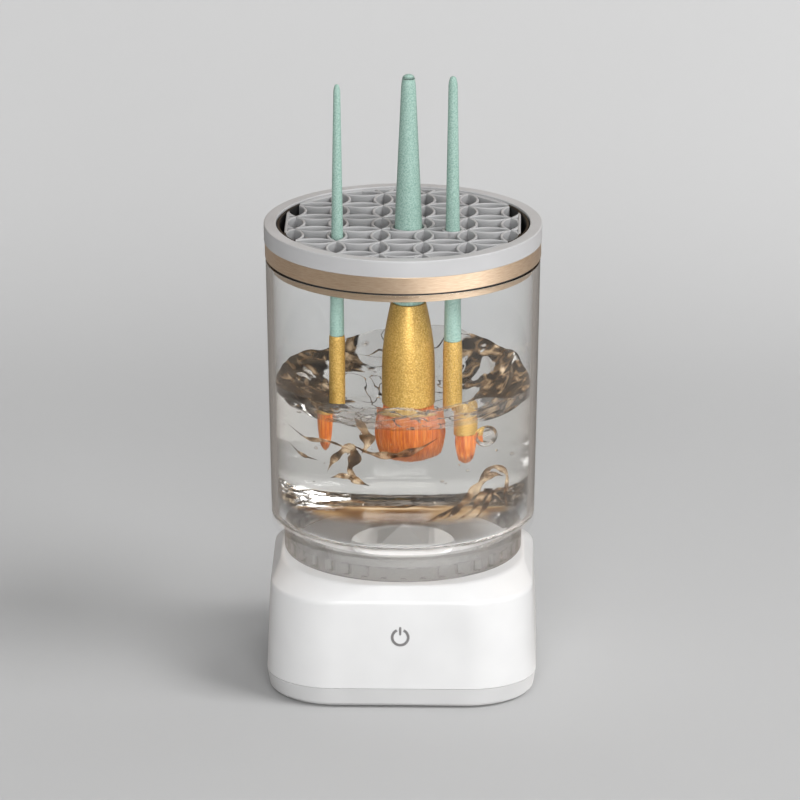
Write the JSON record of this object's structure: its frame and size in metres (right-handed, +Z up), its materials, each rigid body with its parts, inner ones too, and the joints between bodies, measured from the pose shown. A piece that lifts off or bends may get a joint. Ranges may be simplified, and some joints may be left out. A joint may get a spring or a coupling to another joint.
{
  "type": "brush cleaner",
  "caption": "Motor base with a clear spinning cup and a lifting lid whose silicone lattice holds brushes.",
  "frame": {"origin": "on the table, at the centre of the base", "axes": "+Z up along the spindle, -Y towards the power symbol"},
  "size_m": [0.098, 0.098, 0.2201],
  "materials": {
    "white_abs": "satin white moulded ABS",
    "grey_abs": "light grey moulded ABS",
    "inner_plastic": "dark moulded inner plastic",
    "gear_acetal": "off-white acetal",
    "foot_rubber": "soft rubber",
    "seal_rubber": "black silicone",
    "bright_inlay": "polished metal inlay",
    "steel": "ground or zinc plated steel",
    "motor_steel": "drawn steel can",
    "magnet": "sintered ferrite",
    "armature": "laminated iron with copper wire",
    "bronze": "sintered bronze",
    "board": "solder mask on glass laminate",
    "battery_wrap": "shrink sleeve on a steel can",
    "clear_plastic": "clear moulded plastic",
    "hub_white": "white moulded ABS",
    "ring_grey": "light grey satin plastic",
    "champagne": "anodised champagne gold, satin",
    "holder_silicone": "light grey silicone",
    "handle_mint": "speckled mint lacquer on wood",
    "ferrule_gold": "satin gold plate",
    "bristle": "dense synthetic hair"
  },
  "bodies": {
    "base": {"base_shell": "white_abs", "bottom_cover": "grey_abs", "power_symbol": "bright_inlay", "rubber_feet": "foot_rubber", "base_screws": "steel", "touch_sensor_pad": "board", "gearbox_chassis": "inner_plastic", "chassis_screws": "steel", "motor_screws": "steel", "reduction_pin": "steel", "pin_clip": "steel", "motor_can": "motor_steel", "motor_magnets": "magnet", "motor_end_cap": "inner_plastic", "spindle_upper_bush": "bronze", "spindle_lower_bush": "bronze", "splash_seal": "seal_rubber", "thrust_washer": "gear_acetal", "circuit_board": "board", "board_screws": "steel", "charging_socket": "steel", "battery_cell": "battery_wrap", "battery_cradle": "inner_plastic"},
    "motor_rotor": {"motor_armature": "armature", "motor_shaft": "steel", "pinion_gear": "bronze"},
    "reduction": {"reduction_gear": "gear_acetal"},
    "turntable": {"drive_hub": "hub_white", "spindle_shaft": "steel", "main_gear": "gear_acetal", "spindle_clip": "steel"},
    "cup": {"clear_cup": "clear_plastic"},
    "lid": {"top_ring": "ring_grey", "gold_band": "champagne", "lid_seal": "seal_rubber", "brush_holder": "holder_silicone"},
    "large_brush": {"large_brush_handle": "handle_mint", "large_brush_ferrule": "ferrule_gold", "large_brush_bristles": "bristle"},
    "left_brush": {"left_brush_handle": "handle_mint", "left_brush_ferrule": "ferrule_gold", "left_brush_bristles": "bristle"},
    "right_brush": {"right_brush_handle": "handle_mint", "right_brush_ferrule": "ferrule_gold", "right_brush_bristles": "bristle"}
  },
  "joints": [
    {"name": "turntable_spin", "type": "hinge", "parent": "base", "child": "turntable", "pos_m": [0, 0, 0.045], "axis": [0, 0, 1], "continuous": true},
    {"name": "reduction_spin", "type": "hinge", "parent": "base", "child": "reduction", "pos_m": [0.02266, 0.0025, 0.009], "axis": [0, 0, 1], "continuous": true},
    {"name": "motor_spin", "type": "hinge", "parent": "base", "child": "motor_rotor", "pos_m": [0.0225, 0.0225, 0.02], "axis": [0, 0, 1], "continuous": true},
    {"name": "cup_lift", "type": "slide", "parent": "turntable", "child": "cup", "axis": [0, 0, 1], "range_m": [0, 0.03]},
    {"name": "lid_lift", "type": "slide", "parent": "cup", "child": "lid", "axis": [0, 0, 1], "range_m": [0, 0.09]},
    {"name": "large_brush_slide", "type": "slide", "parent": "lid", "child": "large_brush", "axis": [0, 0, 1], "range_m": [-0.018, 0]},
    {"name": "left_brush_slide", "type": "slide", "parent": "lid", "child": "left_brush", "axis": [0, 0, 1], "range_m": [-0.026, 0]},
    {"name": "right_brush_slide", "type": "slide", "parent": "lid", "child": "right_brush", "axis": [0, 0, 1], "range_m": [-0.018, 0]}
  ],
  "couplings": [
    {"joint": "reduction_spin", "follows": "turntable_spin", "ratio": -3.0714},
    {"joint": "motor_spin", "follows": "turntable_spin", "ratio": 9.7262}
  ]
}
